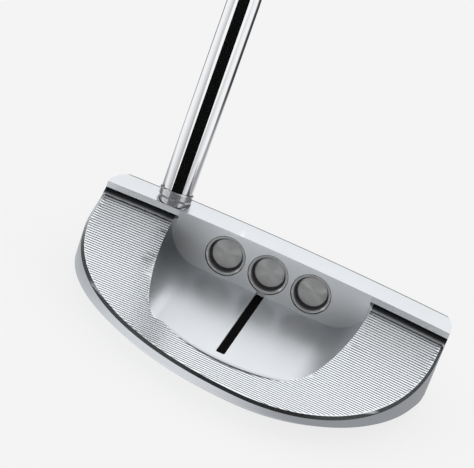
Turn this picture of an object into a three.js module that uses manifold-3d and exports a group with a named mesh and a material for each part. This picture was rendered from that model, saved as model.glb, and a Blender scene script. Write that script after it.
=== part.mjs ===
// Mallet putter: milled steel head, single-bend shaft, pistol grip.
// Millimetres. +X heel to toe, +Y toward the target, +Z up, ground at z = 0.
import * as THREE from 'three';
import { mergeVertices } from 'three/addons/utils/BufferGeometryUtils.js';
import Module from 'manifold-3d';

const wasm = await Module();
wasm.setup();

// head
const toplineZ = 25.5;
const toplineRearY = 10.9;
const loft = THREE.MathUtils.degToRad(3.5);
const leadingEdgeY = 22.0;
const crownRadius = 1130;
const heelX = -53.2;
const toeX = 54.3;
const rearY = -39.3;
const rearApexX = 10;
const frontY = 22.0;
const heelCornerRun = 12;
const toeCornerRun = 9;
const cornerEndY = 10.8;
const browRadius = 1.5;
const browRun = 2.0;
const wallDrop = 1.65;
const filletRun = 1.7;
const wingStartZ = 22.3;
const wingSlope = 0.45;
const wingCurve = 0.00371;
const wingDrop = 0.08; // the wing runs in this far below the end of the fillet
const wingReach = 3; // and keeps its slope this far in under the bar
const wingChamfer = 0.75;
const soleEdge = 0.5;
const soleRise = 5.6;
const soleFlatZ = 0.35;
const soleFlatPart = 0.56;

// open pocket behind the face
const tubHalfWidth = 31.2;
const tubCornerR = 11;
const tubToolR = 1.4;
const wallHalfWidth = 30.2;
const wallRearY = 5;
const wallFrontY = 14;
const barFootZ = 8;
const floorZ = 11.1;
const wallTilt = THREE.MathUtils.degToRad(7);
const platformR = 45;
const platformCentre = new THREE.Vector2(2, 15.1);
const platformHalfWidth = 21;
const platformNeck = 19;
const platformNeckY = -16;
const platformFrontY = -12;
const platformChamfer = 0.4;

// alignment marks
const dotPitch = 13.49;
const dotDrop = 7.6;
const dotBoreR = 6.08;
const dotBoreDepth = 3.6;
const seam = 0.2;
const dotHoleR = 5.14;
const dotFloorDepth = 2.2;
const lineWidth = 2.62;
const lineLength = 36.2;
const lineDepth = 0.7;

// sole parts
const plateScale = 0.5;
const plateThick = 2.6;
const soleCentre = new THREE.Vector2(0, -8);
const screwSpots = [[-18, 1.5], [18, 1.5], [-13.5, -16], [14.5, -16]];
const screwHeadR = 2.7;
const screwShankR = 1.35;
const weightX = 38;
const weightY = 1;
const weightR = 7.5;
const weightLip = 1.1;
const weightDeep = 4.6;
const studR = 4.4;
const studDeep = 9.6;

// shaft and grip
const shaftBase = new THREE.Vector3(-34, 15.65, 24.95);
const lowerDir = new THREE.Vector3(-0.041, 0.286, 0.957).normalize();
const upperDir = new THREE.Vector3(-0.334, 0, 0.943).normalize();
const shaftR = 4.7;
const shaftWall = 0.8;
const butt = 7.35;
const postR = 3.65;
const postLength = 21;
const collarR = 5.0;
const collarHeight = 2.9;
const bendStart = 60;
const bendRadius = 60;
const pathLength = 838;
const gripLength = 267;

const steel = (name, color, roughness) => {
  const m = new THREE.MeshStandardMaterial({ color, metalness: 1, roughness });
  m.name = name;
  return m;
};

const plastic = (name, color, roughness) => {
  const m = new THREE.MeshStandardMaterial({ color, metalness: 0, roughness });
  m.name = name;
  return m;
};

const mats = {
  head: steel('head_steel', 0xc9cbce, 0.28),
  insert: steel('dot_insert_steel', 0xd4d6d9, 0.2),
  chrome: steel('shaft_chrome', 0xe4e6e8, 0.05),
  collar: steel('collar_steel', 0xa9abae, 0.25),
  plate: steel('sole_aluminium', 0xb4b6ba, 0.35),
  weight: steel('weight_steel', 0x9b9da1, 0.3),
  screw: steel('screw_steel', 0x6f7276, 0.35),
  paint: plastic('line_paint', 0x0c0c0d, 0.45),
  rubber: plastic('grip_rubber', 0x17181a, 0.8),
  tape: plastic('grip_tape', 0xd8d2bd, 0.9),
};

function signedVolume(pos, index) {
  let sum = 0;
  const a = new THREE.Vector3();
  const b = new THREE.Vector3();
  const c = new THREE.Vector3();
  for (let i = 0; i < index.length; i += 3) {
    a.fromBufferAttribute(pos, index[i]);
    b.fromBufferAttribute(pos, index[i + 1]);
    c.fromBufferAttribute(pos, index[i + 2]);
    sum += a.dot(b.cross(c));
  }
  return sum / 6;
}

function solid(geometry) {
  const g = geometry.clone();
  g.deleteAttribute('normal');
  g.deleteAttribute('uv');
  const m = mergeVertices(g, 1e-4);
  const raw = m.index.array;
  const tris = [];
  for (let i = 0; i < raw.length; i += 3) {
    const [p, q, r] = [raw[i], raw[i + 1], raw[i + 2]];
    if (p !== q && q !== r && p !== r) tris.push(p, q, r);
  }
  if (signedVolume(m.attributes.position, tris) < 0) tris.reverse();
  const vertProperties = new Float32Array(m.attributes.position.array);
  const triVerts = new Uint32Array(tris);
  return new wasm.Manifold(new wasm.Mesh({ numProp: 3, vertProperties, triVerts }));
}

function piece(name, shape, material) {
  const out = shape.getMesh();
  const g = new THREE.BufferGeometry();
  g.setAttribute('position', new THREE.BufferAttribute(new Float32Array(out.vertProperties), 3));
  g.setIndex(new THREE.BufferAttribute(new Uint32Array(out.triVerts), 1));
  g.computeVertexNormals();
  const mesh = new THREE.Mesh(g, material);
  mesh.name = name;
  return mesh;
}

function place(geometry, position, direction) {
  const from = new THREE.Vector3(0, 1, 0);
  const q = new THREE.Quaternion().setFromUnitVectors(from, direction.clone().normalize());
  return geometry.clone().applyQuaternion(q).translate(position.x, position.y, position.z);
}

const up = new THREE.Vector3(0, 0, 1);

function rod(radius, from, to, segments = 40) {
  const dir = to.clone().sub(from);
  const g = new THREE.CylinderGeometry(radius, radius, dir.length(), segments);
  return solid(place(g, from.clone().add(to).multiplyScalar(0.5), dir));
}

function post(radius, x, y, z0, z1, segments = 40) {
  return rod(radius, new THREE.Vector3(x, y, z0), new THREE.Vector3(x, y, z1), segments);
}

function block(x0, x1, y0, y1, z0, z1) {
  const g = new THREE.BoxGeometry(x1 - x0, y1 - y0, z1 - z0);
  g.translate((x0 + x1) / 2, (y0 + y1) / 2, (z0 + z1) / 2);
  return solid(g);
}

function lathe(profile, segments = 48) {
  const pts = profile.map(([r, h]) => new THREE.Vector2(r, h));
  return new THREE.LatheGeometry(pts, segments);
}

// plan outline of the head, heel front corner round to toe front corner
function planShape() {
  const s = new THREE.Shape();
  s.moveTo(heelX + heelCornerRun, frontY);
  s.bezierCurveTo(heelX + 5, frontY - 0.7, heelX, frontY - 3.5, heelX, cornerEndY);
  s.lineTo(heelX, 3);
  s.bezierCurveTo(heelX, -20, -26, rearY, rearApexX, rearY);
  s.bezierCurveTo(36, rearY, toeX, -18, toeX, 4);
  s.lineTo(toeX, cornerEndY);
  s.bezierCurveTo(toeX, frontY - 3.5, toeX - 3.6, frontY - 0.7, toeX - toeCornerRun, frontY);
  s.lineTo(heelX + heelCornerRun, frontY);
  return s;
}

// each stretch of the outline is divided evenly: corners and rear finely, straights coarsely
function outlinePoints() {
  const counts = [11, 3, 44, 44, 3, 11, 8];
  return planShape().curves.flatMap((curve, i) => curve.getPoints(counts[i]).slice(0, counts[i]));
}

const outline = outlinePoints();
const outlineCount = outline.length;
const crown = (x) => (x * x) / (2 * crownRadius);

function wingZ(x, y) {
  const back = Math.max(-wingReach, toplineRearY - filletRun - y);
  return wingStartZ - wingDrop - wingSlope * back + wingCurve * back * back - crown(x);
}

function soleZ(part, y) {
  const out = Math.max(0, (part - soleFlatPart) / (1 - soleFlatPart));
  const rear = THREE.MathUtils.smoothstep(-y, -17, 6);
  return soleFlatZ + soleRise * out * out * (0.16 + 0.84 * rear);
}

function outward(i) {
  const a = outline[(i + outlineCount - 1) % outlineCount];
  const b = outline[(i + 1) % outlineCount];
  const n = new THREE.Vector2(b.y - a.y, a.x - b.x).normalize();
  const fromCentre = outline[i].clone().sub(soleCentre);
  return n.dot(fromCentre) < 0 ? n.negate() : n;
}

// rings from the middle of the top, over the chamfered edge, to the middle of the sole
function wingBody() {
  const top = [0, 0.14, 0.28, 0.41, 0.53, 0.64, 0.74, 0.83, 0.91, 0.965];
  const low = [1, 0.93, 0.85, 0.76, 0.66, soleFlatPart, 0];
  const profile = [...top.map((s) => ({ s, side: 'top', inset: 0, drop: 0 })),
    { s: 1, side: 'top', inset: wingChamfer, drop: 0 },
    { s: 1, side: 'top', inset: 0, drop: wingChamfer },
    { s: 1, side: 'low', inset: 0, drop: soleEdge },
    ...low.map((s) => ({ s, side: 'low', inset: s === 1 ? soleEdge : 0, drop: 0 }))];
  const g = lathe(profile.map((p, k) => [p.s * 50, -k]), outlineCount);
  const pos = g.attributes.position;
  for (let i = 0; i <= outlineCount; i += 1) {
    const k = i % outlineCount;
    const n = outward(k);
    profile.forEach((p, j) => {
      const rim = outline[k].clone().addScaledVector(n, -p.inset);
      const at = soleCentre.clone().lerp(rim, p.s);
      const z = p.side === 'top' ? wingZ(at.x, at.y) - p.drop : soleZ(p.s, at.y) + p.drop;
      pos.setXYZ(i * profile.length + j, at.x, at.y, z);
    });
  }
  return solid(g);
}

function sideShape() {
  const s = new THREE.Shape();
  const rear = toplineRearY - filletRun;
  const faceTop = leadingEdgeY - toplineZ * Math.tan(loft);
  const tan = Math.tan(loft);
  s.moveTo(leadingEdgeY - barFootZ * tan, barFootZ);
  s.lineTo(faceTop + browRadius * tan, toplineZ - browRadius);
  const browY = faceTop + browRadius * tan - browRun;
  s.absellipse(browY, toplineZ - browRadius, browRun, browRadius, 0, Math.PI / 2, false);
  s.lineTo(toplineRearY, toplineZ);
  s.lineTo(toplineRearY, toplineZ - wallDrop);
  const turn = THREE.MathUtils.degToRad(52);
  const wide = filletRun / (1 - Math.cos(turn));
  const tall = (toplineZ - wallDrop - wingStartZ) / Math.sin(turn);
  s.absellipse(toplineRearY - wide, toplineZ - wallDrop, wide, tall, 0, -turn, true);
  s.lineTo(rear, barFootZ);
  s.closePath();
  return s;
}

// a side profile drawn in Y and Z, run heel to toe and bent to the crown
function crownedRun(shape, x0, x1, steps) {
  const g = new THREE.ExtrudeGeometry(shape, {
    depth: x1 - x0, steps, bevelEnabled: false, curveSegments: 6,
  });
  g.rotateX(Math.PI / 2);
  g.rotateZ(Math.PI / 2);
  g.translate(x0, 0, 0);
  const pos = g.attributes.position;
  for (let i = 0; i < pos.count; i += 1) {
    if (pos.getZ(i) > 9) pos.setZ(i, pos.getZ(i) - crown(pos.getX(i)));
  }
  return g;
}

// metal that the tilted wall of the open pocket is cut in
function wallBacking() {
  const s = new THREE.Shape();
  s.moveTo(wallRearY, barFootZ);
  s.lineTo(wallFrontY, barFootZ);
  s.lineTo(wallFrontY, toplineZ);
  s.lineTo(wallRearY, toplineZ);
  s.closePath();
  return solid(crownedRun(s, -wallHalfWidth, wallHalfWidth, 12));
}

// raised bar behind the face
function toplineBar() {
  const g = crownedRun(sideShape(), heelX - 5, toeX + 5, 20);
  const prism = new THREE.ExtrudeGeometry(new THREE.Shape(outline), {
    depth: 60, bevelEnabled: false,
  });
  return solid(g).intersect(solid(prism));
}

function tub() {
  const half = new THREE.Shape();
  const r = tubCornerR;
  half.moveTo(-tubHalfWidth, 60);
  half.lineTo(-tubHalfWidth, floorZ + r);
  half.absarc(-tubHalfWidth + r, floorZ + r, r, Math.PI, 1.5 * Math.PI, false);
  half.absarc(tubHalfWidth - r, floorZ + r, r, 1.5 * Math.PI, 2 * Math.PI, false);
  half.lineTo(tubHalfWidth, 60);
  half.closePath();
  const along = new THREE.ExtrudeGeometry(half, { depth: 90, bevelEnabled: false, curveSegments: 14 });
  along.rotateX(Math.PI / 2);
  along.translate(0, 20, 0);
  const plan = new THREE.Shape();
  plan.moveTo(-tubHalfWidth, -70);
  plan.lineTo(tubHalfWidth, -70);
  plan.absarc(tubHalfWidth - tubToolR, -tubToolR, tubToolR, 0, Math.PI / 2, false);
  plan.absarc(-tubHalfWidth + tubToolR, -tubToolR, tubToolR, Math.PI / 2, Math.PI, false);
  plan.closePath();
  const down = new THREE.ExtrudeGeometry(plan, { depth: 60, bevelEnabled: false, curveSegments: 6 });
  const pos = down.attributes.position;
  for (let i = 0; i < pos.count; i += 1) {
    const shift = toplineRearY - (toplineZ - pos.getZ(i)) * Math.tan(wallTilt);
    pos.setY(i, pos.getY(i) + shift);
  }
  return solid(along).intersect(solid(down));
}

// flat floor that stands just proud of the swept rear, ending in a chamfered arc
function platform() {
  const s = new THREE.Shape();
  const c = platformChamfer;
  const r = platformR - c;
  const side = platformHalfWidth - c;
  const a0 = Math.PI * 1.5 - Math.asin((platformCentre.x + side) / r);
  const a1 = Math.PI * 1.5 + Math.asin((side - platformCentre.x) / r);
  s.absarc(platformCentre.x, platformCentre.y, r, a0, a1, false);
  s.lineTo(platformNeck, platformNeckY);
  s.lineTo(platformNeck, platformFrontY);
  s.lineTo(-platformNeck, platformFrontY);
  s.lineTo(-platformNeck, platformNeckY);
  s.closePath();
  const g = new THREE.ExtrudeGeometry(s, {
    depth: 3, bevelEnabled: true, bevelThickness: c, bevelSize: c, bevelSegments: 1, curveSegments: 32,
  });
  g.translate(0, 0, floorZ - 3 - c);
  return solid(g);
}

const dotNormal = new THREE.Vector3(0, -Math.cos(wallTilt), Math.sin(wallTilt));

function dotCentre(k) {
  const z = toplineZ - dotDrop;
  const y = toplineRearY - dotDrop * Math.tan(wallTilt);
  return new THREE.Vector3(k * dotPitch, y, z);
}

function dotBore(k) {
  const c = dotCentre(k);
  const mouth = c.clone().addScaledVector(dotNormal, 3);
  const bottom = c.clone().addScaledVector(dotNormal, -dotBoreDepth);
  return rod(dotBoreR, bottom, mouth, 48);
}

function dotInsert(k) {
  const r = dotBoreR - seam;
  const deep = -(dotBoreDepth - seam);
  const profile = [[0, -dotFloorDepth], [4.35, -dotFloorDepth], [4.5, -dotFloorDepth - 0.2],
    [4.72, -dotFloorDepth - 0.2], [4.9, -dotFloorDepth], [dotHoleR, -0.5]];
  for (let i = 1; i <= 4; i += 1) {
    const a = (i / 4) * (Math.PI / 2);
    profile.push([dotHoleR + 0.5 * (1 - Math.cos(a)), -0.5 + 0.38 * Math.sin(a)]);
  }
  profile.push([r - 0.12, -0.06], [r, -0.2], [r, deep], [0, deep]);
  return solid(place(lathe(profile, 48), dotCentre(k), dotNormal));
}

function lineShape(width, length, corner) {
  const s = new THREE.Shape();
  const front = toplineRearY - (toplineZ - floorZ) * Math.tan(wallTilt);
  const end = front - length;
  const h = width / 2;
  s.moveTo(-h, front);
  s.lineTo(-h, end + corner);
  s.absarc(-h + corner, end + corner, corner, Math.PI, 1.5 * Math.PI, false);
  s.absarc(h - corner, end + corner, corner, 1.5 * Math.PI, 2 * Math.PI, false);
  s.lineTo(h, front);
  s.closePath();
  return s;
}

function sightSlot() {
  const g = new THREE.ExtrudeGeometry(lineShape(lineWidth, lineLength, 0.5), {
    depth: lineDepth + 5, bevelEnabled: false, curveSegments: 6,
  });
  g.translate(0, 0, floorZ - lineDepth);
  const notch = new THREE.BoxGeometry(lineWidth, 2.2, 3.4);
  notch.rotateX(-wallTilt);
  const c = dotCentre(0);
  notch.translate(c.x, c.y - 0.9, floorZ + 1.0);
  return solid(g).add(solid(notch));
}

function sightFill() {
  const gap = 0.08;
  const g = new THREE.ExtrudeGeometry(lineShape(lineWidth - 2 * gap, lineLength - 2 * gap, 0.45), {
    depth: lineDepth - 0.12 - gap, bevelEnabled: false, curveSegments: 6,
  });
  g.translate(0, -gap, floorZ - lineDepth + gap);
  return solid(g);
}

function plateShape(scale) {
  const pts = outline.map((p) => soleCentre.clone().lerp(p, scale));
  return new THREE.Shape(pts);
}

function platePocket() {
  const seat = new THREE.ExtrudeGeometry(plateShape(plateScale + 0.006), {
    depth: plateThick + 0.2 + 5, bevelEnabled: false,
  });
  seat.translate(0, 0, -5);
  const hollow = block(-10, 10, -19, 3, 0, 6.6);
  return solid(seat).add(hollow);
}

function solePlate() {
  const c = 0.4;
  const g = new THREE.ExtrudeGeometry(plateShape(plateScale - 0.01), {
    depth: plateThick - 2 * c, bevelEnabled: true, bevelThickness: c, bevelSize: c, bevelSegments: 1,
    bevelOffset: 0,
  });
  g.translate(0, 0, c);
  let p = solid(g);
  for (const [x, y] of screwSpots) {
    const sink = lathe([[0, -1], [screwHeadR + 0.2, -1], [screwHeadR + 0.2, 0.45],
      [screwShankR + 0.25, 1.95], [screwShankR + 0.25, 4], [0, 4]], 32);
    p = p.subtract(solid(place(sink, new THREE.Vector3(x, y, 0), up)));
  }
  return p;
}

function soleScrew([x, y]) {
  const body = lathe([[0, 0.15], [screwHeadR - 0.1, 0.15], [screwHeadR, 0.35],
    [screwShankR, 1.8], [screwShankR, 6.8], [screwShankR - 0.4, 7.2], [0, 7.2]], 24);
  const at = new THREE.Vector3(x, y, 0);
  const hex = new THREE.CylinderGeometry(1.16, 1.16, 2.4, 6);
  const cut = solid(place(hex, new THREE.Vector3(x, y, 0.4), up));
  return solid(place(body, at, up)).subtract(cut);
}

function weightBore(x) {
  const wide = post(weightR + 0.15, x, weightY, -4, weightLip + weightDeep + 0.15, 56);
  return wide.add(post(studR + 0.15, x, weightY, 0, weightLip + studDeep + 0.2, 40));
}

function soleWeight(x) {
  const g = lathe([[0, 0], [weightR - 0.5, 0], [weightR, 0.5], [weightR, weightDeep],
    [studR, weightDeep], [studR, studDeep - 0.4], [studR - 0.4, studDeep], [0, studDeep]], 44);
  let w = solid(place(g, new THREE.Vector3(x, weightY, weightLip), up));
  for (const side of [-1, 1]) {
    w = w.subtract(post(0.95, x + side * 4.2, weightY, -1, weightLip + 1.8, 20));
  }
  return w;
}

function faceCutter() {
  const g = new THREE.BoxGeometry(140, 40, 80);
  g.translate(0, 20, 20);
  g.rotateX(loft);
  g.translate(0, leadingEdgeY, 0);
  const edge = new THREE.BoxGeometry(140, 4, 4);
  edge.rotateX(Math.PI / 4);
  edge.translate(0, leadingEdgeY + 1.15, -0.55);
  return solid(g).add(solid(edge));
}

function headBody() {
  let h = wingBody().add(toplineBar()).add(wallBacking());
  h = h.subtract(faceCutter());
  h = h.subtract(tub());
  h = h.add(platform());
  for (const k of [-1, 0, 1]) h = h.subtract(dotBore(k));
  h = h.subtract(sightSlot());
  h = h.subtract(platePocket());
  for (const [x, y] of screwSpots) h = h.subtract(post(screwShankR + 0.2, x, y, 0, 7.6, 24));
  for (const x of [-weightX, weightX]) h = h.subtract(weightBore(x));
  const foot = shaftBase.clone().addScaledVector(lowerDir, -2);
  const tip = shaftBase.clone().addScaledVector(lowerDir, postLength);
  return h.add(rod(postR, foot, tip, 40));
}

function collarRing() {
  const profile = [[postR + 0.25, -4], [collarR - 0.25, -4], [collarR - 0.25, 0.3], [collarR, 0.9],
    [collarR, collarHeight - 0.25], [collarR - 0.25, collarHeight], [postR + 0.25, collarHeight],
    [postR + 0.25, -4]];
  const ring = solid(place(lathe(profile, 56), shaftBase, lowerDir));
  const below = toplineBar().translate([0, 0, 0.15]);
  return ring.subtract(below).subtract(block(-60, 0, 0, 40, 0, toplineZ - crown(-34) + 0.12));
}

// lower straight, one bend, upper straight; u is spread so that the bend gets most steps
class ShaftPath extends THREE.Curve {
  constructor(start, end) {
    super();
    this.start = start;
    this.end = end;
    const angle = lowerDir.angleTo(upperDir);
    this.bendLength = bendRadius * angle;
    this.angle = angle;
    this.across = lowerDir.clone().cross(upperDir).normalize();
  }

  length(u) {
    const b0 = bendStart;
    const b1 = bendStart + this.bendLength;
    if (u < 0.1) return THREE.MathUtils.lerp(this.start, b0, u / 0.1);
    if (u < 0.6) return THREE.MathUtils.lerp(b0, b1, (u - 0.1) / 0.5);
    return THREE.MathUtils.lerp(b1, this.end, (u - 0.6) / 0.4);
  }

  tangentAtLength(s) {
    const part = THREE.MathUtils.clamp((s - bendStart) / this.bendLength, 0, 1);
    return lowerDir.clone().applyAxisAngle(this.across, part * this.angle);
  }

  pointAtLength(s) {
    const p = shaftBase.clone().addScaledVector(lowerDir, Math.min(s, bendStart));
    if (s <= bendStart) return p;
    const part = Math.min(1, (s - bendStart) / this.bendLength);
    const a = part * this.angle;
    const side = this.across.clone().cross(lowerDir).normalize();
    p.addScaledVector(lowerDir, bendRadius * Math.sin(a));
    p.addScaledVector(side, bendRadius * (1 - Math.cos(a)));
    const beyond = s - bendStart - this.bendLength;
    return beyond > 0 ? p.addScaledVector(upperDir, beyond) : p;
  }

  getPoint(u) { return this.pointAtLength(this.length(u)); }

  getPointAt(u) { return this.getPoint(u); }

  getTangentAt(u) { return this.tangentAtLength(this.length(u)); }

  getSpacedPoints(n) { return Array.from({ length: n + 1 }, (_, i) => this.getPoint(i / n)); }
}

const shaftAxis = new ShaftPath(collarHeight + 0.15, pathLength);
const bendEnd = shaftAxis.pointAtLength(bendStart + shaftAxis.bendLength);

function taperAt(s) {
  return 1 + (butt / shaftR - 1) * THREE.MathUtils.clamp((s - 30) / 430, 0, 1);
}

function shaftTube() {
  const ring = new THREE.Shape();
  ring.absarc(0, 0, shaftR, 0, 2 * Math.PI, false);
  const hole = new THREE.Path();
  hole.absarc(0, 0, shaftR - shaftWall, 0, 2 * Math.PI, true);
  ring.holes.push(hole);
  const g = new THREE.ExtrudeGeometry(ring, {
    steps: 24, bevelEnabled: false, curveSegments: 24, extrudePath: shaftAxis,
  });
  const pos = g.attributes.position;
  const v = new THREE.Vector3();
  for (let i = 0; i < pos.count; i += 1) {
    v.fromBufferAttribute(pos, i).sub(bendEnd);
    const s = v.dot(upperDir);
    if (s > 0) {
      const centre = upperDir.clone().multiplyScalar(s);
      v.sub(centre).multiplyScalar(taperAt(s)).add(centre);
      v.add(bendEnd);
      pos.setXYZ(i, v.x, v.y, v.z);
    }
  }
  return solid(g);
}

const upperLength = pathLength - bendStart - shaftAxis.bendLength;
const gripStart = upperLength + 6 - gripLength;

function alongUpper(profile, segments) {
  return place(lathe(profile, segments), bendEnd, upperDir);
}

// outside radius of the shaft at distance s up the straight length, plus a gap
const around = (s, gap) => shaftR * taperAt(s) + gap;

function gripTape() {
  const s0 = gripStart + 6;
  const s1 = upperLength - 4;
  const r0 = around(s0, 0.12);
  const r1 = around(s1, 0.12);
  return solid(alongUpper([[r0, s0], [r0 + 0.45, s0], [r1 + 0.45, s1], [r1, s1], [r0, s0]], 40));
}

// pistol grip: slim mouth, swelling to the butt, flat on the target-facing thumb side
function gripRadius(t) {
  const swell = THREE.MathUtils.smoothstep(t, 0.35, 0.92);
  const tip = THREE.MathUtils.smoothstep(t, 0, 0.035);
  return 8.6 + 1.5 * tip + 1.3 * t + 2.7 * swell;
}

function gripOuter() {
  const profile = [[0, gripStart], [8.4, gripStart]];
  const rings = 24;
  for (let i = 0; i <= rings; i += 1) {
    const t = i / rings;
    profile.push([gripRadius(t), gripStart + 0.8 + t * (gripLength - 5.2)]);
  }
  profile.push([gripRadius(1) - 1.6, gripStart + gripLength - 3.6], [0, gripStart + gripLength - 3.6]);
  const g = alongUpper(profile, 44);
  const pos = g.attributes.position;
  const v = new THREE.Vector3();
  const thumb = new THREE.Vector3(upperDir.z, 0, -upperDir.x);
  for (let i = 0; i < pos.count; i += 1) {
    v.fromBufferAttribute(pos, i).sub(bendEnd);
    const s = v.dot(upperDir);
    const t = THREE.MathUtils.clamp((s - gripStart) / gripLength, 0, 1);
    const centre = upperDir.clone().multiplyScalar(s);
    v.sub(centre);
    const side = v.dot(thumb);
    const flat = 8.9 + 1.1 * t;
    const swell = THREE.MathUtils.smoothstep(t, 0.45, 0.95);
    if (side > flat) v.addScaledVector(thumb, flat + 0.12 * (side - flat) - side);
    if (side < 0) v.addScaledVector(thumb, side * 0.22 * swell);
    v.add(centre).add(bendEnd);
    pos.setXYZ(i, v.x, v.y, v.z);
  }
  return solid(g);
}

function gripSleeve() {
  const s0 = gripStart - 2;
  const s1 = upperLength + 0.4;
  const r0 = around(s0, 0.75);
  const r1 = around(s1, 0.75);
  const bore = solid(alongUpper([[0, s0], [r0, s0], [r1, s1], [0, s1]], 40));
  const pocket = solid(alongUpper([[0, s1 - 1], [5.2, s1 - 1], [5.2, s1 + 9], [0, s1 + 9]], 32));
  return gripOuter().subtract(bore).subtract(pocket);
}

function gripCap() {
  const s = gripStart + gripLength - 3.4;
  const r = gripRadius(1) - 1.9;
  const g = alongUpper([[1.1, s - 2.2], [4.9, s - 2.2], [4.9, s], [r, s], [r, s + 1.3], [r - 1.6, s + 2.5],
    [1.1, s + 2.9], [1.1, s - 2.2]], 48);
  return solid(g);
}

const group = new THREE.Group();
group.name = 'mallet_putter';
group.add(piece('head_body', headBody(), mats.head));
['heel', 'center', 'toe'].forEach((side, i) => {
  group.add(piece(`dot_insert_${side}`, dotInsert(i - 1), mats.insert));
});
group.add(piece('sight_line_fill', sightFill(), mats.paint));
group.add(piece('sole_plate', solePlate(), mats.plate));
screwSpots.forEach((spot, i) => {
  group.add(piece(`sole_screw_${i + 1}`, soleScrew(spot), mats.screw));
});
group.add(piece('sole_weight_heel', soleWeight(-weightX), mats.weight));
group.add(piece('sole_weight_toe', soleWeight(weightX), mats.weight));
group.add(piece('shaft_collar', collarRing(), mats.collar));
group.add(piece('shaft', shaftTube(), mats.chrome));
group.add(piece('grip_tape', gripTape(), mats.tape));
group.add(piece('grip_sleeve', gripSleeve(), mats.rubber));
group.add(piece('grip_cap', gripCap(), mats.rubber));

export default group;
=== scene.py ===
# Mallet putter: looks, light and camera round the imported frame.
import math

import bmesh
import bpy
from mathutils import Matrix, Vector


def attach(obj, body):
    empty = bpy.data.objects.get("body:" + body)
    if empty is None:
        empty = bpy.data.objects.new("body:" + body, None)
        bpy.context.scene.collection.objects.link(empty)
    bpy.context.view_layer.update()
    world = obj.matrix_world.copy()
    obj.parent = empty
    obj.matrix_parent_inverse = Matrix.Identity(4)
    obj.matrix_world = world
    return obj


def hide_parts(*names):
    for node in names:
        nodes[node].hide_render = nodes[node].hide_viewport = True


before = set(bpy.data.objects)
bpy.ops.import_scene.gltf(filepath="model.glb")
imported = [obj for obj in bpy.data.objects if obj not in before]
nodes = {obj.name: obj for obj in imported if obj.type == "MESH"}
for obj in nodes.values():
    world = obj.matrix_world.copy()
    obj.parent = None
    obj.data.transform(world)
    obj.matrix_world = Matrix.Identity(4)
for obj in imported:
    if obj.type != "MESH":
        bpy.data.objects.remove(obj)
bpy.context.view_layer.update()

MM = 0.001
ROOT = "root"

# ---------------------------------------------------------------- the head's own shape, in mm
TOPLINE_Z = 25.5
TOPLINE_REAR_Y = 10.9
WING_START_Z = 22.22
WING_FRONT_Y = 9.2
WING_SLOPE = 0.45
WING_CURVE = 0.00371
CROWN_RADIUS = 1130.0
FLOOR_Z = 11.1
TUB_HALF_WIDTH = 31.2
WALL_TILT = math.radians(7)
DOT_PITCH = 13.49
DOT_DROP = 7.6
MILL_PITCH = 0.80
GROOVE_HALF = 0.19
GROOVE_DEPTH = 0.08
FIRST_GROOVE = 0.6
OPEN_END = 0.5
FACET_ROOM_Y = 0.35
FACET_ROOM_Z = 0.12
STEEL = (0.775, 0.805, 0.835)
# Darker steel colour, used only for painted shade.
SHADE_PAINT_STEEL = (0.10, 0.105, 0.115)
# Centre x, y, z and reach in mm of the painted shade round the heel and toe corners of the pocket.
HEEL_CORNER_SHADE = (-32.0, 3.0, 17.0, 22.0)
TOE_CORNER_SHADE = (25.0, 4.0, 11.0, 15.0)
GRIP_PITCH = 3.6
PLATE_SWEEP_X = 60.0
WEIGHT_X = 38.0
WEIGHT_Y = 1.0
UPPER_DIR = Vector((-0.334, 0, 0.943)).normalized()


# ---------------------------------------------------------------- camera
def add_camera():
    azimuth, elevation, roll = math.radians(9.0), math.radians(30.0), math.radians(19.55)
    distance = 0.70
    right = Vector((math.cos(azimuth), math.sin(azimuth), 0))
    forward = Vector((-math.sin(azimuth) * math.cos(elevation),
                      math.cos(azimuth) * math.cos(elevation), -math.sin(elevation)))
    up = right.cross(forward)
    turned_right = math.cos(roll) * right + math.sin(roll) * up
    turned_up = math.cos(roll) * up - math.sin(roll) * right
    middle_dot = Vector((0, TOPLINE_REAR_Y - DOT_DROP * math.tan(WALL_TILT), TOPLINE_Z - DOT_DROP)) * MM
    offset = Vector((8.84, -11.77)) * MM
    place = middle_dot - offset.x * turned_right - offset.y * turned_up - distance * forward
    data = bpy.data.cameras.new("camera")
    data.sensor_width = 36
    data.lens = 185.8
    data.clip_start, data.clip_end = 0.01, 50
    cam = bpy.data.objects.new("camera", data)
    bpy.context.scene.collection.objects.link(cam)
    turn = Matrix((turned_right, turned_up, -forward)).transposed()
    cam.matrix_world = Matrix.Translation(place) @ turn.to_4x4()
    bpy.context.scene.camera = cam
    bpy.context.scene.view_settings.view_transform = "Standard"


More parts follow.
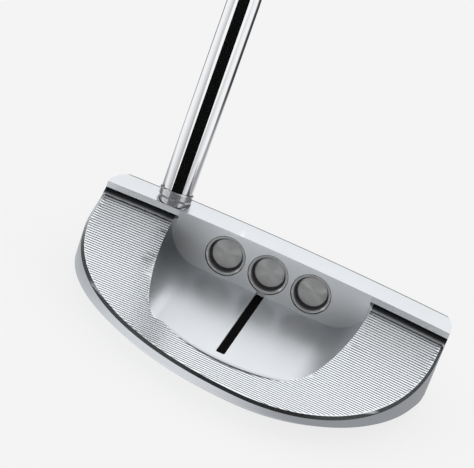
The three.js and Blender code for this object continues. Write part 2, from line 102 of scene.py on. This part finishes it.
# ---------------------------------------------------------------- node helpers
class Tree:
    """Short words for building a node tree."""

    def __init__(self, tree):
        self.tree = tree

    def new(self, kind, **settings):
        node = self.tree.nodes.new(kind)
        for key, value in settings.items():
            setattr(node, key, value)
        return node

    def link(self, a, b):
        self.tree.links.new(a, b)

    def math(self, operation, a, b=None, c=None):
        node = self.new("ShaderNodeMath", operation=operation)
        for socket, value in zip(node.inputs, (a, b, c)):
            if value is None:
                continue
            if isinstance(value, (int, float)):
                socket.default_value = value
            else:
                self.link(value, socket)
        return node.outputs[0]

    def product(self, first, *rest):
        for factor in rest:
            first = self.math("MULTIPLY", first, factor)
        return first

    def ramp(self, value, low, high, to_low=0.0, to_high=1.0):
        node = self.new("ShaderNodeMapRange", interpolation_type="SMOOTHSTEP")
        self.link(value, node.inputs["Value"])
        node.inputs["From Min"].default_value = low
        node.inputs["From Max"].default_value = high
        node.inputs["To Min"].default_value = to_low
        node.inputs["To Max"].default_value = to_high
        return node.outputs["Result"]

    def turn_ramp(self, angle, low, high):
        """A ramp between two angles in degrees."""
        return self.ramp(angle, math.radians(low), math.radians(high))

    def noise(self, vector, scale, detail=3.0, rough=0.55):
        node = self.new("ShaderNodeTexNoise")
        self.link(vector, node.inputs["Vector"])
        node.inputs["Scale"].default_value = scale
        node.inputs["Detail"].default_value = detail
        node.inputs["Roughness"].default_value = rough
        return node.outputs["Fac"]

    def mix(self, mask, a, b):
        node = self.new("ShaderNodeMix", data_type="RGBA")
        self.link(mask, node.inputs["Factor"])
        for socket, value in ((node.inputs[6], a), (node.inputs[7], b)):
            if hasattr(value, "is_output"):
                self.link(value, socket)
            else:
                socket.default_value = (*value, 1)
        return node.outputs[2]

    def bump(self, height, distance, normal=None):
        node = self.new("ShaderNodeBump")
        node.inputs["Distance"].default_value = distance
        self.link(height, node.inputs["Height"])
        if normal is not None:
            self.link(normal, node.inputs["Normal"])
        return node.outputs["Normal"]

    def object_mm(self):
        """Object coordinates in millimetres, as a vector and split in x, y and z."""
        where = self.new("ShaderNodeTexCoord").outputs["Object"]
        scale = self.new("ShaderNodeVectorMath", operation="SCALE")
        self.link(where, scale.inputs[0])
        scale.inputs["Scale"].default_value = 1000
        split = self.new("ShaderNodeSeparateXYZ")
        self.link(scale.outputs["Vector"], split.inputs[0])
        return scale.outputs["Vector"], split.outputs[0], split.outputs[1], split.outputs[2]


def new_material(name, color, metallic, roughness, specular=None):
    mat = bpy.data.materials.new(name)
    mat.use_nodes = True
    shader = mat.node_tree.nodes["Principled BSDF"]
    shader.inputs["Base Color"].default_value = (*color, 1)
    shader.inputs["Metallic"].default_value = metallic
    shader.inputs["Roughness"].default_value = roughness
    if specular is not None:
        shader.inputs["Specular IOR Level"].default_value = specular
    return mat, Tree(mat.node_tree), shader


def group_node(tree, group, **values):
    node = tree.new("ShaderNodeGroup")
    node.node_tree = group
    for key, value in values.items():
        node.inputs[key].default_value = value
    return node


# ---------------------------------------------------------------- shared effects
def handling_group():
    """Fine grain and faint smudges of a steel that has been handled."""
    group = bpy.data.node_groups.new("handled_steel", "ShaderNodeTree")
    for name in ("Roughness", "Grain", "Smudge"):
        socket = group.interface.new_socket(name, in_out="INPUT", socket_type="NodeSocketFloat")
        socket.default_value = 0.2
    group.interface.new_socket("Roughness", in_out="OUTPUT", socket_type="NodeSocketFloat")
    group.interface.new_socket("Height", in_out="OUTPUT", socket_type="NodeSocketFloat")
    t = Tree(group)
    given = t.new("NodeGroupInput")
    out = t.new("NodeGroupOutput")
    vector = t.object_mm()[0]
    smudge = t.ramp(t.noise(vector, 0.055, 2.0, 0.5), 0.30, 0.78)
    grain = t.noise(vector, 5.5, 2.0, 0.6)
    rough = t.math("MULTIPLY_ADD", smudge, given.outputs["Smudge"], given.outputs["Roughness"])
    t.link(rough, out.inputs["Roughness"])
    t.link(t.math("MULTIPLY", grain, given.outputs["Grain"]), out.inputs["Height"])
    return group


def turned_group():
    """Concentric lathe marks round a distance that the material works out."""
    group = bpy.data.node_groups.new("turned_rings", "ShaderNodeTree")
    for name in ("Radius", "Pitch"):
        group.interface.new_socket(name, in_out="INPUT", socket_type="NodeSocketFloat")
    group.interface.new_socket("Height", in_out="OUTPUT", socket_type="NodeSocketFloat")
    t = Tree(group)
    given = t.new("NodeGroupInput")
    out = t.new("NodeGroupOutput")
    turns = t.math("DIVIDE", given.outputs["Radius"], given.outputs["Pitch"])
    wave = t.math("SINE", t.math("MULTIPLY", turns, 2 * math.pi))
    t.link(wave, out.inputs["Height"])
    return group


HANDLED = handling_group()
TURNED = turned_group()


# ---------------------------------------------------------------- materials
def wing_height(t, x, y):
    """Height of the swept wing surface above the ground at x, y."""
    back = t.math("SUBTRACT", WING_FRONT_Y, y)
    fall = t.math("MULTIPLY_ADD", t.math("MULTIPLY", back, back), WING_CURVE, WING_START_Z)
    fall = t.math("SUBTRACT", fall, t.math("MULTIPLY", back, WING_SLOPE))
    return t.math("SUBTRACT", fall, t.math("DIVIDE", t.math("MULTIPLY", x, x), 2 * CROWN_RADIUS))


def wing_mask(t, y, off, upward):
    """The milled wing: close to its own height, behind the fillet, neither flat nor steep."""
    return t.product(t.ramp(upward, 0.80, 0.86), t.ramp(upward, 0.9997, 0.9992),
                     t.ramp(off, 0.14, 0.09), t.ramp(y, WING_FRONT_Y + 0.5, WING_FRONT_Y + 0.3))


def pocket_mask(t, x, y, z):
    return t.product(t.ramp(t.math("ABSOLUTE", x), TUB_HALF_WIDTH + 0.15, TUB_HALF_WIDTH - 0.05),
                     t.ramp(y, TOPLINE_REAR_Y + 0.02, TOPLINE_REAR_Y - 0.08),
                     t.ramp(z, FLOOR_Z - 1.5, FLOOR_Z - 0.9))


def floor_edge_mask(t, y, z, off, upward):
    """The thin chamfer along the rear of the raised floor."""
    slant = t.math("ABSOLUTE", t.math("SUBTRACT", upward, math.cos(math.radians(45))))
    return t.product(t.ramp(y, -20.0, -22.0), t.ramp(slant, 0.08, 0.04), t.ramp(off, 0.0, 0.02),
                     t.ramp(z, FLOOR_Z + 0.1, FLOOR_Z), t.ramp(z, FLOOR_Z - 0.75, FLOOR_Z - 0.5))


def head_material():
    mat, t, shader = new_material("head_steel_finish", STEEL, 1.0, 0.24)
    _, x, y, z = t.object_mm()
    handled = group_node(t, HANDLED, Roughness=0.20, Grain=0.10, Smudge=0.06)
    t.link(t.bump(handled.outputs["Height"], 0.000004), shader.inputs["Normal"])
    facing = t.new("ShaderNodeSeparateXYZ")
    t.link(t.new("ShaderNodeNewGeometry").outputs["True Normal"], facing.inputs[0])
    upward = facing.outputs[2]
    off = t.math("ABSOLUTE", t.math("SUBTRACT", z, wing_height(t, x, y)))
    on_wing = wing_mask(t, y, off, upward)
    off_wing = t.math("SUBTRACT", 1.0, on_wing)
    inside = pocket_mask(t, x, y, z)
    blasted = t.product(inside, off_wing)
    t.link(t.math("MULTIPLY_ADD", blasted, 0.11, handled.outputs["Roughness"]), shader.inputs["Roughness"])

    step = t.product(t.ramp(y, WING_FRONT_Y - 0.5, WING_FRONT_Y - 0.1),
                     t.ramp(y, TOPLINE_REAR_Y + 0.15, TOPLINE_REAR_Y + 0.05), t.ramp(upward, 0.30, 0.15))
    pale = floor_edge_mask(t, y, z, off, upward)
    for mask, share in ((blasted, 0.08), (step, 0.52), (on_wing, 0.08)):
        pale = t.math("MAXIMUM", pale, t.product(mask, share))
    t.link(t.math("SUBTRACT", 1.0, pale), shader.inputs["Metallic"])

    # Painted shade: the pocket's heel and toe corners are darkened in the base colour.
    painted_corner_shade = t.math("MAXIMUM", t.product(corner_shade_blob(t, x, y, z, HEEL_CORNER_SHADE), 0.8),
                     t.product(corner_shade_blob(t, x, y, z, TOE_CORNER_SHADE), 0.35))
    # Painted shade along the crease where the upright wall meets the wing.
    crease_shade = t.product(t.ramp(y, WING_FRONT_Y - 2.2, WING_FRONT_Y + 0.3),
                       t.ramp(y, TOPLINE_REAR_Y + 0.1, TOPLINE_REAR_Y), t.ramp(upward, 0.20, 0.40),
                       t.math("SUBTRACT", 1.0, inside), 0.9)
    # The painted shade of the corners and the crease darkens the base colour.
    stain_and_painted_shade = t.math("MAXIMUM", t.product(painted_corner_shade, blasted), crease_shade)
    t.link(t.mix(stain_and_painted_shade, STEEL, SHADE_PAINT_STEEL), shader.inputs["Base Color"])
    return mat


def corner_shade_blob(t, x, y, z, place):
    """Painted shade that fades out round one corner of the open pocket."""
    cx, cy, cz, reach = place
    total = None
    for value, centre in ((x, cx), (y, cy), (z, cz)):
        away = t.math("SUBTRACT", value, centre)
        square = t.math("MULTIPLY", away, away)
        total = square if total is None else t.math("ADD", total, square)
    return t.ramp(t.math("SQRT", total), reach, 0.0)


def dot_material():
    mat, t, shader = new_material("dot_insert_finish", (0.88, 0.91, 0.94), 0.68, 0.16)
    vector, x, y, z = t.object_mm()
    nearest = t.product(t.math("ROUND", t.math("DIVIDE", x, DOT_PITCH)), DOT_PITCH)
    wrapped = t.math("SUBTRACT", x, nearest)
    centre_z = TOPLINE_Z - DOT_DROP
    centre_y = TOPLINE_REAR_Y - DOT_DROP * math.tan(WALL_TILT)
    dz = t.math("SUBTRACT", z, centre_z)
    dy = t.math("SUBTRACT", y, centre_y)
    across = t.math("MULTIPLY_ADD", dy, math.sin(WALL_TILT), t.math("MULTIPLY", dz, math.cos(WALL_TILT)))
    radius = t.math("SQRT", t.math("MULTIPLY_ADD", wrapped, wrapped, t.math("MULTIPLY", across, across)))
    rings = group_node(t, TURNED, Pitch=0.2)
    t.link(radius, rings.inputs["Radius"])
    floor = t.ramp(radius, 4.5, 4.4)
    t.link(t.bump(t.math("MULTIPLY", rings.outputs["Height"], floor), 0.000008), shader.inputs["Normal"])
    # Painted shade: the wall of each dot's recess is given a dark colour.
    recess_shade = t.math("MULTIPLY", t.ramp(radius, 4.4, 4.6), t.ramp(radius, 5.3, 5.05))
    stain_and_painted_shade = t.ramp(t.noise(vector, 0.5, 3.0), 0.4, 0.7, 0.86, 0.94)
    turned = t.new("ShaderNodeCombineColor")
    for socket in turned.inputs[:3]:
        t.link(stain_and_painted_shade, socket)
    t.link(t.mix(recess_shade, turned.outputs[0], (0.10, 0.10, 0.11)), shader.inputs["Base Color"])
    return mat


def upright_turned(name, color, roughness, cx, cy, pitch, depth):
    mat, t, shader = new_material(name, color, 1.0, roughness)
    _, x, y, _ = t.object_mm()
    dx = t.math("SUBTRACT", x, cx)
    dy = t.math("SUBTRACT", y, cy)
    radius = t.math("SQRT", t.math("MULTIPLY_ADD", dx, dx, t.math("MULTIPLY", dy, dy)))
    rings = group_node(t, TURNED, Pitch=pitch)
    t.link(radius, rings.inputs["Radius"])
    t.link(t.bump(rings.outputs["Height"], depth), shader.inputs["Normal"])
    return mat


def along_axis(t, vector, direction):
    """Distance in mm from the origin along a direction."""
    axis = t.new("ShaderNodeVectorMath", operation="DOT_PRODUCT")
    t.link(vector, axis.inputs[0])
    axis.inputs[1].default_value = direction
    return axis.outputs["Value"]


def collar_material():
    mat, t, shader = new_material("collar_finish", (0.72, 0.73, 0.75), 0.85, 0.22)
    handled = group_node(t, HANDLED, Roughness=0.16, Grain=0.5, Smudge=0.06)
    t.link(handled.outputs["Roughness"], shader.inputs["Roughness"])
    t.link(t.bump(handled.outputs["Height"], 0.000001), shader.inputs["Normal"])
    return mat


def chrome_material():
    mat, t, shader = new_material("shaft_chrome_finish", (0.93, 0.94, 0.95), 1.0, 0.03)
    handled = group_node(t, HANDLED, Roughness=0.025, Grain=0.0, Smudge=0.03)
    t.link(handled.outputs["Roughness"], shader.inputs["Roughness"])
    return mat


def plate_material():
    mat, t, shader = new_material("sole_plate_finish", (0.72, 0.73, 0.75), 1.0, 0.3)
    _, x, y, _ = t.object_mm()
    handled = group_node(t, HANDLED, Roughness=0.26, Grain=0.5, Smudge=0.08)
    dx = t.math("SUBTRACT", x, PLATE_SWEEP_X)
    radius = t.math("SQRT", t.math("MULTIPLY_ADD", dx, dx, t.math("MULTIPLY", y, y)))
    rings = group_node(t, TURNED, Pitch=0.9)
    t.link(radius, rings.inputs["Radius"])
    swept = t.bump(rings.outputs["Height"], 0.00001)
    t.link(t.bump(handled.outputs["Height"], 0.000006, normal=swept), shader.inputs["Normal"])
    t.link(handled.outputs["Roughness"], shader.inputs["Roughness"])
    return mat


def screw_material():
    mat, t, shader = new_material("screw_finish", (0.34, 0.35, 0.37), 1.0, 0.3)
    handled = group_node(t, HANDLED, Roughness=0.28, Grain=1.0, Smudge=0.1)
    t.link(handled.outputs["Roughness"], shader.inputs["Roughness"])
    t.link(t.bump(handled.outputs["Height"], 0.000008), shader.inputs["Normal"])
    return mat


def line_material():
    mat, t, shader = new_material("line_fill_finish", (0.002, 0.002, 0.0025), 0.0, 0.7, specular=0.05)
    vector = t.object_mm()[0]
    t.link(t.bump(t.noise(vector, 1.4, 3.0), 0.00002), shader.inputs["Normal"])
    return mat


def tape_material():
    mat, t, shader = new_material("grip_tape_finish", (0.78, 0.74, 0.64), 0.0, 0.9)
    vector = t.object_mm()[0]
    t.link(t.bump(t.noise(vector, 2.5, 2.0), 0.00004), shader.inputs["Normal"])
    return mat


def rubber_material():
    mat, t, shader = new_material("grip_rubber_finish", (0.018, 0.018, 0.020), 0.0, 0.72, specular=0.35)
    vector, _, y, _ = t.object_mm()
    along = along_axis(t, vector, UPPER_DIR)
    a = t.math("SINE", t.math("MULTIPLY", t.math("ADD", along, y), math.pi / GRIP_PITCH))
    b = t.math("SINE", t.math("MULTIPLY", t.math("SUBTRACT", along, y), math.pi / GRIP_PITCH))
    cross = t.math("MINIMUM", t.math("ABSOLUTE", a), t.math("ABSOLUTE", b))
    diamond = t.ramp(cross, 0.30, 0.12)
    grain = t.noise(vector, 2.2, 3.0, 0.6)
    height = t.math("SUBTRACT", t.math("MULTIPLY", grain, 0.22), diamond)
    t.link(t.bump(height, 0.0005), shader.inputs["Normal"])
    t.link(t.ramp(grain, 0.3, 0.7, 0.62, 0.8), shader.inputs["Roughness"])
    worn = t.ramp(t.noise(vector, 0.03, 3.0), 0.4, 0.8)
    skin = t.mix(worn, (0.020, 0.020, 0.022), (0.034, 0.034, 0.036))
    t.link(t.mix(diamond, skin, (0.007, 0.007, 0.008)), shader.inputs["Base Color"])
    return mat


# ---------------------------------------------------------------- pieces
SHARP = math.radians(16)
SAME_PLACE = 1e-7
MERGE = 2e-6


def shade_smooth(bm):
    for face in bm.faces:
        face.smooth = True
    for edge in bm.edges:
        edge.smooth = len(edge.link_faces) == 2 and not edge.seam and edge.calc_face_angle(0) < SHARP


def clean_copy(node, name, material, extra=None):
    """A merged, smooth-shaded piece with the CAD node's own shape, which it stands for."""
    bm = bmesh.new()
    bm.from_mesh(nodes[node].data)
    bmesh.ops.remove_doubles(bm, verts=bm.verts, dist=MERGE)
    bmesh.ops.dissolve_degenerate(bm, dist=MERGE, edges=bm.edges)
    if extra:
        extra(bm)
    shade_smooth(bm)
    mesh = bpy.data.meshes.new(name)
    bm.to_mesh(mesh)
    bm.free()
    piece = bpy.data.objects.new(name, mesh)
    bpy.context.scene.collection.objects.link(piece)
    mesh.materials.append(material)
    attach(piece, ROOT)
    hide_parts(node)


def wing_z(x, y):
    """Height in mm of the swept wing above the ground, as the design has it."""
    back = WING_FRONT_Y - y
    return WING_START_Z - WING_SLOPE * back + WING_CURVE * back * back - x * x / (2 * CROWN_RADIUS)


def on_the_wing(vert):
    """Whether a vertex lies on the swept wing, with room for the error of flat facets."""
    x, y, z = vert.co / MM
    return y < WING_FRONT_Y + FACET_ROOM_Y and abs(z - wing_z(x, y)) < FACET_ROOM_Z


def is_wing(face):
    """Whether a face belongs to the milled wing: sloped a little, and on it at every corner."""
    return 0.8 < face.normal.z < 0.9997 and all(on_the_wing(v) for v in face.verts)


def groove_dip(y, count):
    """How far in mm the V grooves lie below the wing at y."""
    k = round((WING_FRONT_Y - y) / MILL_PITCH - FIRST_GROOVE)
    if not 0 <= k < count:
        return 0.0
    middle = WING_FRONT_Y - (k + FIRST_GROOVE) * MILL_PITCH
    return GROOVE_DEPTH * max(0.0, 1 - abs(y - middle) / GROOVE_HALF)


def mill_wing(bm):
    """Cut straight V grooves across both wings. They run out over steep walls, not over shallow rims."""
    wing = [f for f in bm.faces if is_wing(f)]
    within = set(wing)
    for edge in {e for f in wing for e in f.edges}:
        edge.seam = not all(f in within for f in edge.link_faces)
    rear = min(v.co.y for f in wing for v in f.verts) / MM
    count = int((WING_FRONT_Y - rear) / MILL_PITCH)
    for k in range(count):
        middle = WING_FRONT_Y - (k + FIRST_GROOVE) * MILL_PITCH
        for step in (1, 0, -1):
            y = (middle + step * GROOVE_HALF) * MM
            edges = {e for f in wing for e in f.edges}
            verts = {v for f in wing for v in f.verts}
            cut = bmesh.ops.bisect_plane(bm, geom=[*wing, *edges, *verts], dist=SAME_PLACE,
                                         plane_co=(0, y, 0), plane_no=(0, 1, 0))
            wing = [f for f in cut["geom"] if isinstance(f, bmesh.types.BMFace)
                    and min(v.co.y for v in f.verts) < y - SAME_PLACE]
    bm.normal_update()
    for vert in {v for f in bm.faces if is_wing(f) for v in f.verts}:
        x, y = vert.co.x / MM, vert.co.y / MM
        beside = [f.normal.z for f in vert.link_faces if not is_wing(f)]
        if not beside:
            vert.co.z = wing_z(x, y) * MM
        if not beside or max(beside) < OPEN_END:
            vert.co.z -= groove_dip(y, count) * MM
    bm.normal_update()


def dress():
    clean_copy("head_body", "putter_head", head_material(), extra=mill_wing)
    turned = dot_material()
    for side in ("heel", "center", "toe"):
        clean_copy("dot_insert_" + side, "alignment_dot_" + side, turned)
    clean_copy("sight_line_fill", "sight_line", line_material())
    clean_copy("sole_plate", "sole_cover_plate", plate_material())
    screw = screw_material()
    for k in range(1, 5):
        clean_copy(f"sole_screw_{k}", f"plate_screw_{k}", screw)
    for side, x in (("heel", -WEIGHT_X), ("toe", WEIGHT_X)):
        finish = upright_turned("weight_finish_" + side, (0.62, 0.63, 0.65), 0.22, x, WEIGHT_Y, 0.3, 0.00001)
        clean_copy("sole_weight_" + side, "weight_" + side, finish)
    clean_copy("shaft_collar", "collar_ring", collar_material())
    clean_copy("shaft", "bent_shaft", chrome_material())
    clean_copy("grip_tape", "tape_layer", tape_material())
    rubber = rubber_material()
    clean_copy("grip_sleeve", "grip", rubber)
    clean_copy("grip_cap", "grip_end_cap", rubber)


# ---------------------------------------------------------------- floor and light, angles in degrees
FLOOR_GLOW = 0.765
CARD_RADIUS = 1.6
CARD_LEFT, CARD_RIGHT, CARD_TOP = -30, 51, 64
OVERHEAD_LOW, OVERHEAD_HIGH = 68, 88
SIDE_DARK = 0.05
HIGH_GLOW = 1.36
BEYOND_HEADING = -160


def stage_mesh(name, bm, material):
    mesh = bpy.data.meshes.new(name)
    bm.to_mesh(mesh)
    bm.free()
    thing = bpy.data.objects.new(name, mesh)
    bpy.context.scene.collection.objects.link(thing)
    mesh.materials.append(material)
    return thing


def heading(t, x, y):
    """Angle round the head from straight behind it, positive to the toe."""
    return t.math("ARCTAN2", x, t.math("MULTIPLY", y, -1.0))


def add_floor():
    """A pale sweep. Reflections see it dark ahead of the face and mid grey behind the head, and close round
    the head they see painted shade and light.
    """
    bm = bmesh.new()
    bmesh.ops.create_grid(bm, x_segments=2, y_segments=2, size=6.0)
    mat = bpy.data.materials.new("floor_finish")
    mat.use_nodes = True
    t = Tree(mat.node_tree)
    shader = mat.node_tree.nodes["Principled BSDF"]
    shader.inputs["Base Color"].default_value = (0.15, 0.15, 0.15, 1)
    shader.inputs["Roughness"].default_value = 1.0
    shader.inputs["Specular IOR Level"].default_value = 0.0
    shader.inputs["Emission Color"].default_value = (1, 1, 1, 1)
    shader.inputs["Emission Strength"].default_value = FLOOR_GLOW
    split = t.new("ShaderNodeSeparateXYZ")
    t.link(t.new("ShaderNodeTexCoord").outputs["Object"], split.inputs[0])
    fx, fy, _ = split.outputs
    angle = t.math("ABSOLUTE", heading(t, fx, fy))
    reach = t.math("SQRT", t.math("MULTIPLY_ADD", fx, fx, t.math("MULTIPLY", fy, fy)))
    beyond = t.turn_ramp(angle, 122, 142)
    near = t.turn_ramp(angle, 105, 30)
    # Painted shade and light for reflections close round the head: darker out to the sides, lighter under
    # the middle.
    close = t.ramp(reach, 0.16, 0.10)
    tone = t.mix(beyond, (0.95, 0.95, 0.96), (0.05, 0.05, 0.055))
    tone = t.mix(near, tone, (0.40, 0.40, 0.41))
    middle = t.ramp(t.math("ABSOLUTE", t.math("ADD", fx, 0.022)), 0.06, 0.008)
    under = t.mix(middle, (0.34, 0.34, 0.35), (0.80, 0.81, 0.82))
    tone = t.mix(close, tone, under)
    card = t.new("ShaderNodeEmission")
    t.link(tone, card.inputs["Color"])
    pick = t.new("ShaderNodeMixShader")
    t.link(t.new("ShaderNodeLightPath").outputs["Is Glossy Ray"], pick.inputs[0])
    t.link(shader.outputs[0], pick.inputs[1])
    t.link(card.outputs[0], pick.inputs[2])
    out = mat.node_tree.nodes["Material Output"]
    t.link(pick.outputs[0], out.inputs["Surface"])
    stage_mesh("floor", bm, mat)


def add_card():
    """A curved black card behind the head. It makes the dark stripe down the shaft."""
    bm = bmesh.new()
    bmesh.ops.create_uvsphere(bm, u_segments=72, v_segments=60, radius=CARD_RADIUS)
    gone = []
    for face in bm.faces:
        c = face.calc_center_median()
        az = math.degrees(math.atan2(c.x, -c.y))
        el = math.degrees(math.asin(c.z / c.length))
        if not (CARD_LEFT < az < CARD_RIGHT and -1 < el < CARD_TOP):
            gone.append(face)
    bmesh.ops.delete(bm, geom=gone, context="FACES")
    mat = bpy.data.materials.new("black_card")
    mat.use_nodes = True
    shader = mat.node_tree.nodes["Principled BSDF"]
    shader.inputs["Base Color"].default_value = (0.004, 0.004, 0.004, 1)
    shader.inputs["Roughness"].default_value = 1.0
    shader.inputs["Specular IOR Level"].default_value = 0.0
    card = stage_mesh("black_card", bm, mat)
    card.visible_camera = False
    card.visible_diffuse = False
    card.visible_shadow = False


def add_world():
    """What reflections see: bright high up and ahead of the face, bright low down elsewhere, else dark."""
    world = bpy.data.worlds.new("studio")
    bpy.context.scene.world = world
    world.use_nodes = True
    t = Tree(world.node_tree)
    back = world.node_tree.nodes["Background"]
    where = t.new("ShaderNodeTexCoord").outputs["Generated"]
    split = t.new("ShaderNodeSeparateXYZ")
    t.link(where, split.inputs[0])
    x, y, z = split.outputs
    angle = t.math("ABSOLUTE", heading(t, x, y))
    rise = t.math("ARCSINE", z)
    over = t.math("ARCTAN2", z, y)
    far_side = t.turn_ramp(over, OVERHEAD_HIGH, OVERHEAD_LOW)
    overhead = t.product(far_side, t.turn_ramp(rise, 36, 50))
    flat = t.math("SQRT", t.math("MULTIPLY_ADD", x, x, t.math("MULTIPLY", y, y)))
    middle = math.radians(BEYOND_HEADING)
    toward = t.math("SUBTRACT", t.product(x, math.sin(middle)), t.product(y, math.cos(middle)))
    toward = t.math("DIVIDE", toward, t.math("MAXIMUM", flat, 0.001))
    beyond = t.ramp(toward, math.cos(math.radians(42)), math.cos(math.radians(26)))
    beyond = t.product(beyond, t.turn_ramp(rise, 11, 19), far_side)
    low = t.product(t.turn_ramp(rise, 10, 4), t.turn_ramp(angle, 140, 125))
    bright = t.math("MAXIMUM", overhead, t.math("MAXIMUM", beyond, low))
    high = t.product(t.turn_ramp(rise, 32, 44), t.ramp(y, -0.05, 0.1))
    glow = t.mix(high, (1.0, 1.0, 1.0), (HIGH_GLOW, HIGH_GLOW, HIGH_GLOW))
    tone = t.mix(bright, (SIDE_DARK, SIDE_DARK, SIDE_DARK), glow)
    path = t.new("ShaderNodeLightPath")
    tone = t.mix(path.outputs["Is Glossy Ray"], (0.95, 0.95, 0.95), tone)
    t.link(tone, back.inputs["Color"])
    back.inputs["Strength"].default_value = 1.0


add_camera()
dress()
add_floor()
add_card()
add_world()
